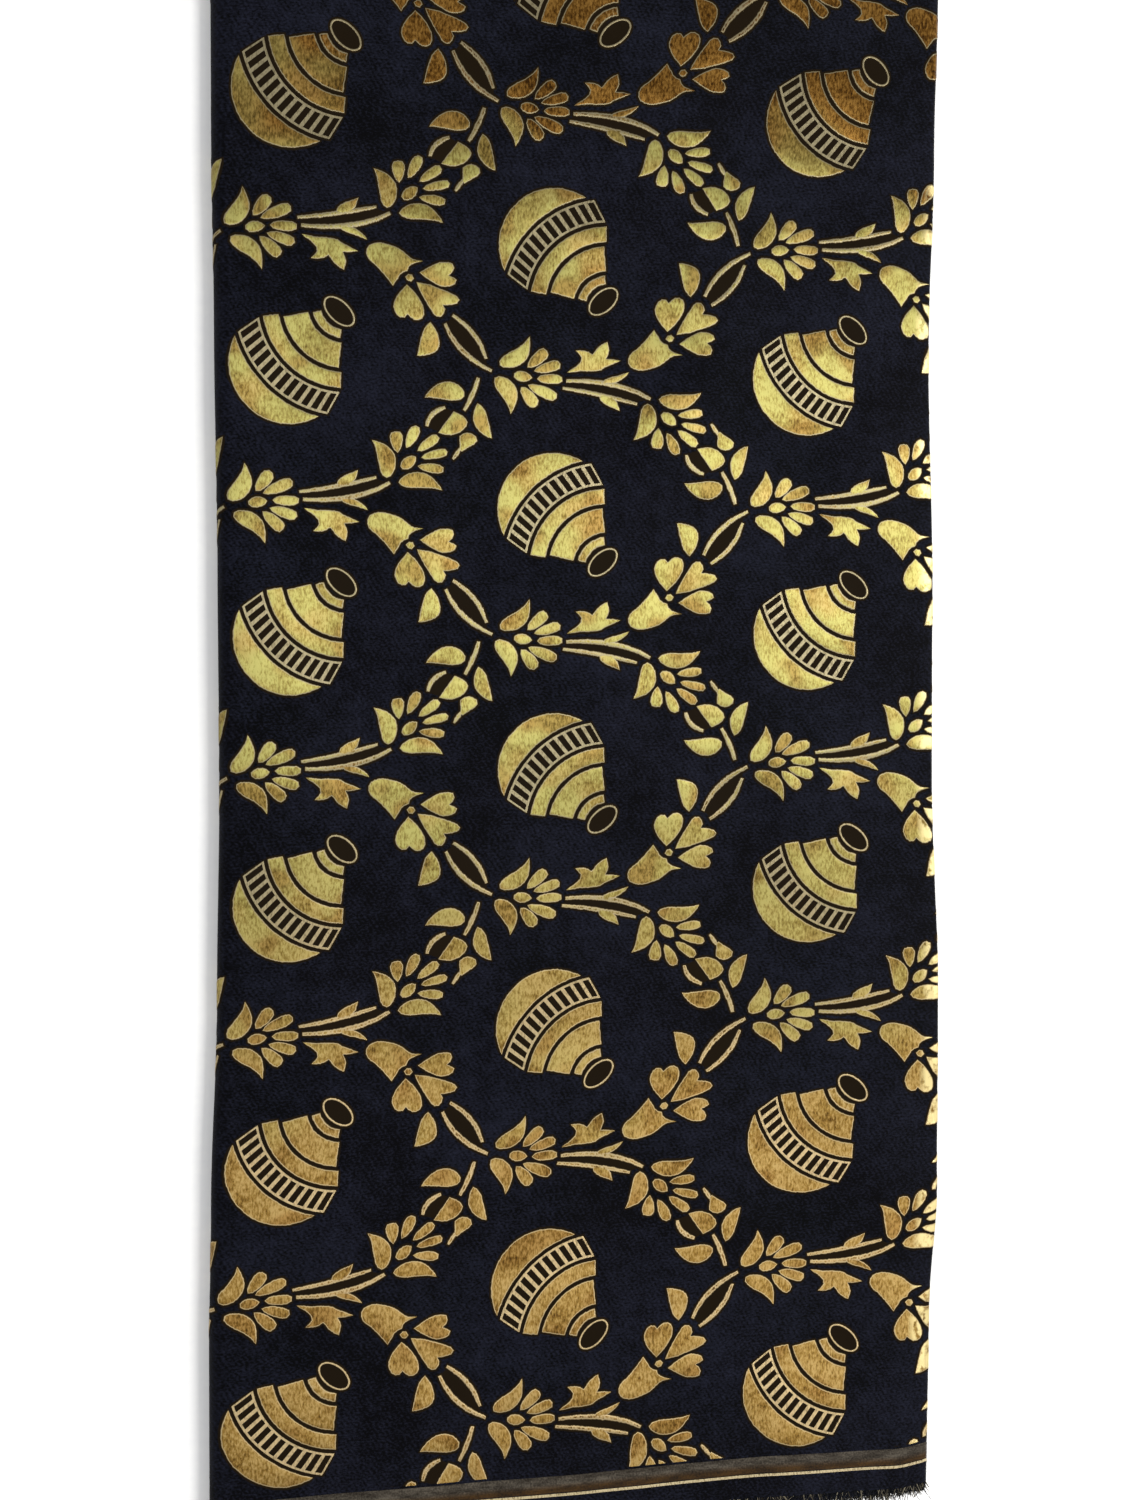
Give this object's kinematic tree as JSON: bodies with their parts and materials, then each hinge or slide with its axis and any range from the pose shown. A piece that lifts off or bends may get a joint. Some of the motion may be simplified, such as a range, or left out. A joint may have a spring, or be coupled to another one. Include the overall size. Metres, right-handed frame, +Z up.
{
  "type": "folded blouse fabric",
  "caption": "Cut length of dark satin brocade with a woven gold flower trellis and water pots, doubled across its width and book-folded, with its selvedges at one end.",
  "frame": {"origin": "centre of the pack's bounding box, on the surface that it rests on", "axes": "+X across the pack towards its single fold, +Y along the pack from the selvedges to the doubling fold, +Z up out of the face that shows"},
  "size_m": [0.2673, 0.5648, 0.0127],
  "materials": {
    "satin_ground": "navy-black satin ground of figured brocade with a faint diagonal twill line",
    "gold_weft": "woven metallic gold thread with a grainy sparkle and pale bound edges",
    "selvedge": "brown ribbed selvedge band with a thin gold line and a black strip",
    "fringe_yarn": "short loose yarn ends, most of them black and some pale gold"
  },
  "bodies": {
    "root": {"folded_cloth": "satin_ground"}
  },
  "joints": []
}
